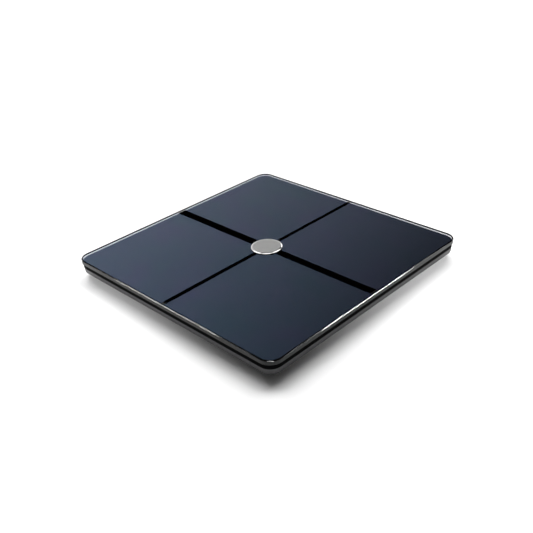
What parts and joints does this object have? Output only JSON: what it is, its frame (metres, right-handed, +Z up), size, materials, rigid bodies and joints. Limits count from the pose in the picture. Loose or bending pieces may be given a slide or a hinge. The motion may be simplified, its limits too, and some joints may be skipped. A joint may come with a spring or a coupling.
{
  "type": "digital bathroom scale",
  "caption": "Square glass body-composition scale: glass platform with electrode quadrants and a round centre disc on a slim plastic case with sprung load-cell feet and a battery door.",
  "frame": {"origin": "on the floor under the middle of the platform", "axes": "+Z up; the user stands facing +Y, the rear edge, where the display is; +X is the user's right"},
  "size_m": [0.3, 0.3, 0.0237],
  "materials": {
    "clear_glass": "clear tempered glass, polished edges, dark blue print under it",
    "electrode_film": "thin conductive coating on the glass, glossy, dark blue as seen over the print",
    "polished_metal": "satin face with a polished bevel",
    "black_rubber": "matt black",
    "contact_metal": "tinned copper alloy",
    "black_plastic": "black moulded plastic, fine texture",
    "grey_plastic": "dark grey moulded plastic, fine texture",
    "white_plastic": "white moulded plastic",
    "steel": "plain steel",
    "circuit_board": "green solder mask on glass fibre laminate",
    "chip_plastic": "black epoxy",
    "battery_can": "plain wrapped cell, no label",
    "lead_black": "black insulation",
    "lead_red": "red insulation"
  },
  "bodies": {
    "scale_body": {"battery_1": "battery_can", "battery_2": "battery_can", "battery_3": "battery_can", "battery_lead_negative": "lead_black", "battery_lead_positive": "lead_red", "bottom_shell": "grey_plastic", "centre_disc": "polished_metal", "contact_board": "circuit_board", "contact_bridge_left": "steel", "contact_bridge_right": "steel", "contact_negative": "steel", "contact_positive": "steel", "disc_gasket": "black_rubber", "display_board": "circuit_board", "display_diffuser": "white_plastic", "display_reflector": "white_plastic", "display_ribbon": "white_plastic", "electrode_contact_front_left": "contact_metal", "electrode_contact_front_right": "contact_metal", "electrode_contact_rear_left": "contact_metal", "electrode_contact_rear_right": "contact_metal", "electrode_front_left": "electrode_film", "electrode_front_right": "electrode_film", "electrode_lead": "white_plastic", "electrode_rear_left": "electrode_film", "electrode_rear_right": "electrode_film", "glass_platform": "clear_glass", "glass_tape": "black_rubber", "lead_connector": "white_plastic", "load_cell_front_left": "steel", "load_cell_front_right": "steel", "load_cell_lead_front_left": "lead_black", "load_cell_lead_front_right": "lead_black", "load_cell_lead_rear_left": "lead_black", "load_cell_lead_rear_right": "lead_black", "load_cell_rear_left": "steel", "load_cell_rear_right": "steel", "main_board": "circuit_board", "main_chip": "chip_plastic", "radio_module": "steel", "shell_screw_front_left": "steel", "shell_screw_front_right": "steel", "shell_screw_left_front": "steel", "shell_screw_left_rear": "steel", "shell_screw_rear_left": "steel", "shell_screw_rear_right": "steel", "shell_screw_right_front": "steel", "shell_screw_right_rear": "steel", "top_frame": "black_plastic", "unit_switch": "chip_plastic"},
    "foot_front_left": {"foot_cap_front_left": "black_plastic", "foot_pad_front_left": "black_rubber"},
    "foot_front_right": {"foot_cap_front_right": "black_plastic", "foot_pad_front_right": "black_rubber"},
    "foot_rear_left": {"foot_cap_rear_left": "black_plastic", "foot_pad_rear_left": "black_rubber"},
    "foot_rear_right": {"foot_cap_rear_right": "black_plastic", "foot_pad_rear_right": "black_rubber"},
    "battery_lid": {"battery_door": "grey_plastic"},
    "unit_key": {"unit_button": "grey_plastic"}
  },
  "joints": [
    {"name": "foot_travel_front_left", "type": "slide", "parent": "scale_body", "child": "foot_front_left", "axis": [0, 0, 1], "range_m": [0, 0.0005], "stiffness_N_per_m": 200000, "deforming": ["load_cell_front_left"]},
    {"name": "foot_travel_front_right", "type": "slide", "parent": "scale_body", "child": "foot_front_right", "axis": [0, 0, 1], "range_m": [0, 0.0005], "stiffness_N_per_m": 200000, "deforming": ["load_cell_front_right"]},
    {"name": "foot_travel_rear_left", "type": "slide", "parent": "scale_body", "child": "foot_rear_left", "axis": [0, 0, 1], "range_m": [0, 0.0005], "stiffness_N_per_m": 200000, "deforming": ["load_cell_rear_left"]},
    {"name": "foot_travel_rear_right", "type": "slide", "parent": "scale_body", "child": "foot_rear_right", "axis": [0, 0, 1], "range_m": [0, 0.0005], "stiffness_N_per_m": 200000, "deforming": ["load_cell_rear_right"]},
    {"name": "battery_door_hinge", "type": "hinge", "parent": "scale_body", "child": "battery_lid", "pos_m": [0, -0.054, 0.0037], "axis": [-1, 0, 0], "range_deg": [0, 80]},
    {"name": "unit_button_travel", "type": "slide", "parent": "scale_body", "child": "unit_key", "axis": [0, 0, 1], "range_m": [0, 0.0005], "stiffness_N_per_m": 2000}
  ]
}
